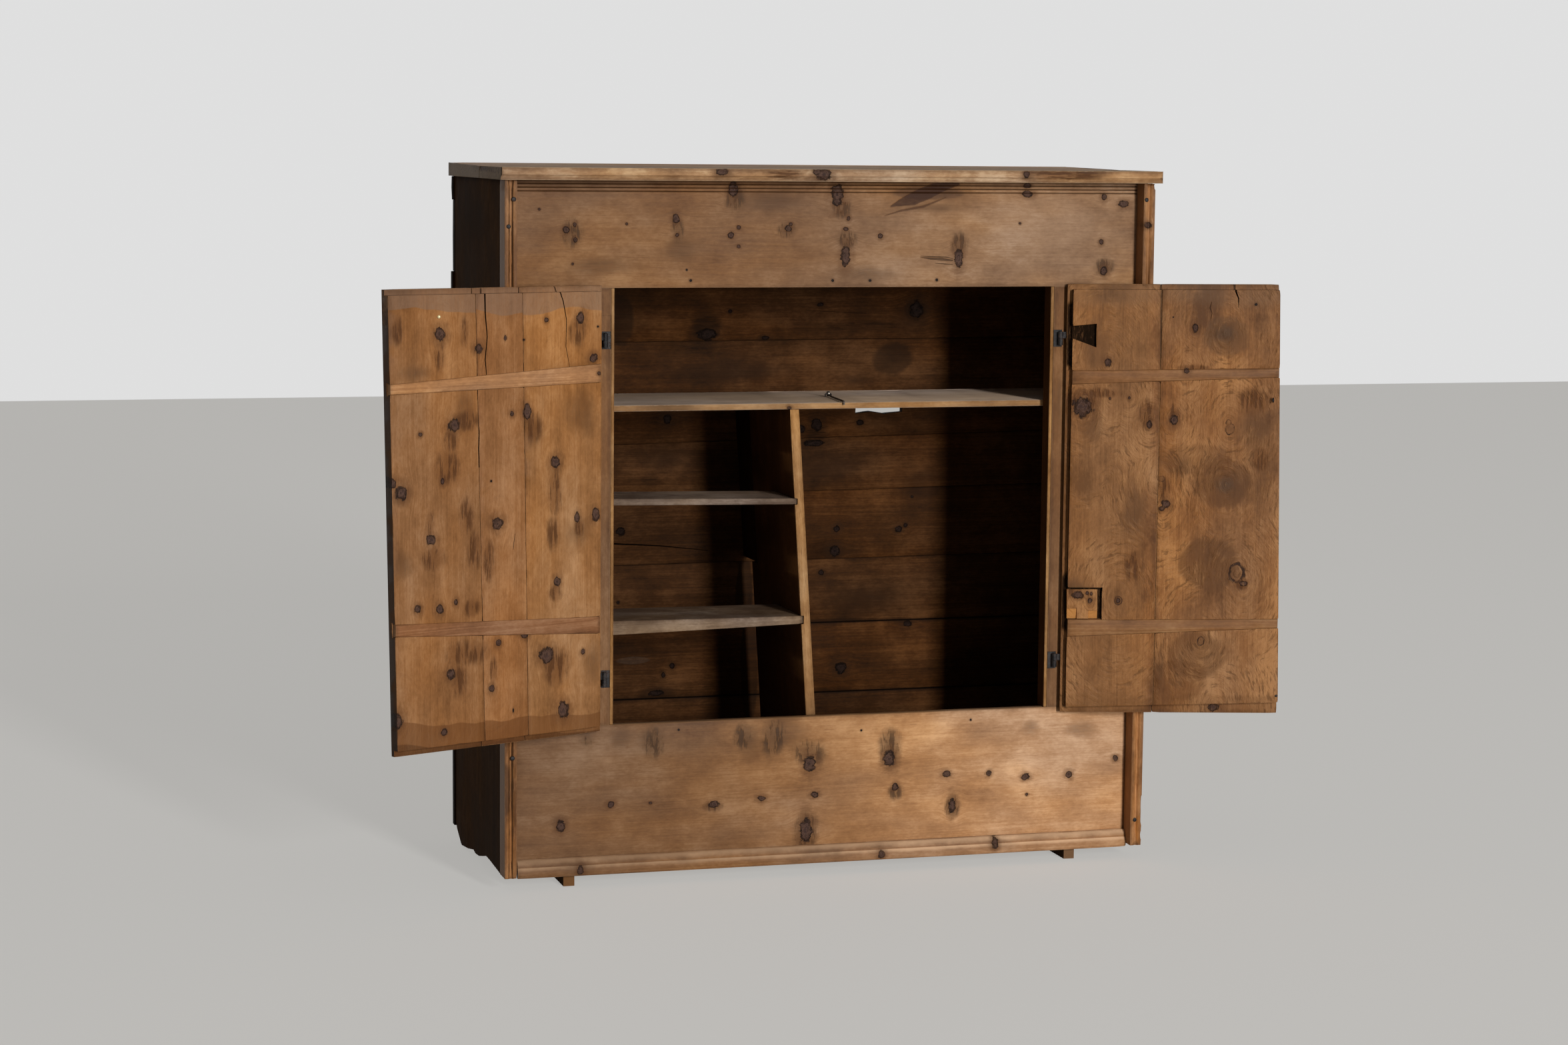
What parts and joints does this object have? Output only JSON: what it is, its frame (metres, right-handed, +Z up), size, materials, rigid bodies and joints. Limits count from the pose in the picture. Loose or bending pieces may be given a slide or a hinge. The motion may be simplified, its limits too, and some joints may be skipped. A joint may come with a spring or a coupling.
{
  "type": "plank cupboard",
  "caption": "Low country cupboard of nailed planks on skids, with lipped plank doors on iron pin hinges, a shelf, a leaning partition and half shelves.",
  "frame": {"origin": "On the floor, below the middle of the cupboard's box with its doors open as at rest", "axes": "+X to the right as seen from the front, +Y to the rear, +Z up"},
  "size_m": [1.852, 0.6968, 1.411],
  "materials": {
    "front_pine": "old waxed pine, worn",
    "door_pine": "old waxed pine, inner faces bare and orange brown",
    "dark_side": "dark stained pine",
    "inner_pine": "bare aged pine",
    "grey_board": "dusty grey bare board",
    "batten_pine": "planed aged pine",
    "black_iron": "dark oxidised wrought iron",
    "worn_steel": "worn bare steel",
    "brass": "dull brass"
  },
  "bodies": {
    "carcass": {"side_left": "dark_side", "side_right": "dark_side", "top_front_board": "front_pine", "top_rear_board": "front_pine", "frieze_board": "front_pine", "apron_board": "front_pine", "base_moulding": "front_pine", "corner_moulding_left": "front_pine", "corner_moulding_right": "front_pine", "front_stile_left": "front_pine", "front_stile_right": "front_pine", "jamb_lining_left": "inner_pine", "jamb_lining_right": "inner_pine", "bottom_board": "grey_board", "skid_left": "dark_side", "skid_right": "dark_side", "back_plank_1": "inner_pine", "back_plank_2": "inner_pine", "back_plank_3": "inner_pine", "back_plank_4": "inner_pine", "back_plank_5": "inner_pine", "back_plank_6": "inner_pine", "back_plank_7": "inner_pine", "back_plank_8": "inner_pine", "back_plank_9": "inner_pine", "upper_shelf": "grey_board", "shelf_cleat_left": "inner_pine", "shelf_cleat_right": "inner_pine", "partition": "inner_pine", "partition_rear_board": "inner_pine", "half_shelf_upper": "inner_pine", "half_shelf_lower": "inner_pine", "half_shelf_cleat_upper": "inner_pine", "half_shelf_cleat_lower": "inner_pine", "hinge_frame_leaf_left_upper": "black_iron", "hinge_frame_leaf_left_lower": "black_iron", "hinge_frame_leaf_right_upper": "black_iron", "hinge_frame_leaf_right_lower": "black_iron", "hinge_pin_left_upper": "black_iron", "hinge_pin_left_lower": "black_iron", "hinge_pin_right_upper": "black_iron", "hinge_pin_right_lower": "black_iron", "hook_staple": "black_iron"},
    "door_left": {"left_door_plank_1": "door_pine", "left_door_plank_2": "door_pine", "left_door_plank_3": "door_pine", "left_door_batten_upper": "batten_pine", "left_door_batten_lower": "batten_pine", "left_door_stud": "brass", "hinge_door_leaf_left_upper": "black_iron", "hinge_door_leaf_left_lower": "black_iron"},
    "door_right": {"right_door_plank_1": "door_pine", "right_door_plank_2": "door_pine", "right_door_batten_upper": "batten_pine", "right_door_batten_lower": "batten_pine", "right_door_eye": "black_iron", "right_door_nail": "black_iron", "hinge_door_leaf_right_upper": "black_iron", "hinge_door_leaf_right_lower": "black_iron"},
    "latch_hook": {"latch_hook": "worn_steel"}
  },
  "joints": [
    {"name": "left_door_swing", "type": "hinge", "parent": "carcass", "child": "door_left", "pos_m": [-0.46037, -0.14957, 0.75], "axis": [0, 0, 1], "range_deg": [-8, 158.7]},
    {"name": "right_door_swing", "type": "hinge", "parent": "carcass", "child": "door_right", "pos_m": [0.47963, -0.14957, 0.75], "axis": [0, 0, 1], "range_deg": [-166.5, 1]},
    {"name": "hook_lift", "type": "hinge", "parent": "carcass", "child": "latch_hook", "pos_m": [0.05063, 0.04143, 0.951], "axis": [-1, 0, 0], "range_deg": [0, 75]}
  ]
}
